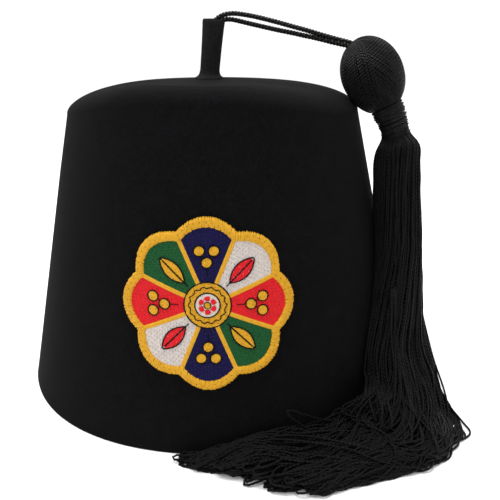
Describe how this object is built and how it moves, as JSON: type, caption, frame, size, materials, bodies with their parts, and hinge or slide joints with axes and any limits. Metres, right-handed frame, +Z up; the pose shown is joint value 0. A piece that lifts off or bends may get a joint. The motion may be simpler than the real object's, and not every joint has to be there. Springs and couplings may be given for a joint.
{
  "type": "fez hat",
  "caption": "Black felt fez: a hollow tapered crown with a short stem, a twisted cord to a long tassel laid along the rim, and a scalloped embroidered patch.",
  "frame": {"origin": "middle of the rim, on the surface that the hat stands on", "axes": "+Z up through the crown, -Y to the front with the patch, +X to the side where the tassel falls"},
  "size_m": [0.1916, 0.2094, 0.165],
  "materials": {
    "felt": "dense black wool felt with a short soft nap",
    "cord": "twisted black rayon cord",
    "tassel_thread": "black rayon thread wound in crossing layers, satin sheen",
    "tassel_strands": "fine twisted black rayon strands with a satin sheen",
    "embroidery": "satin-stitch embroidery in gold, red, blue, green and white thread",
    "embroidery_border": "gold overlocked border"
  },
  "bodies": {
    "root": {"crown": "felt", "stem": "felt", "cord_upper": "cord", "cord_lower": "cord", "tassel_head": "tassel_thread", "tassel_neck": "tassel_thread", "tassel_skirt": "tassel_strands", "emblem_ground": "embroidery", "emblem_border": "embroidery_border"}
  },
  "joints": []
}
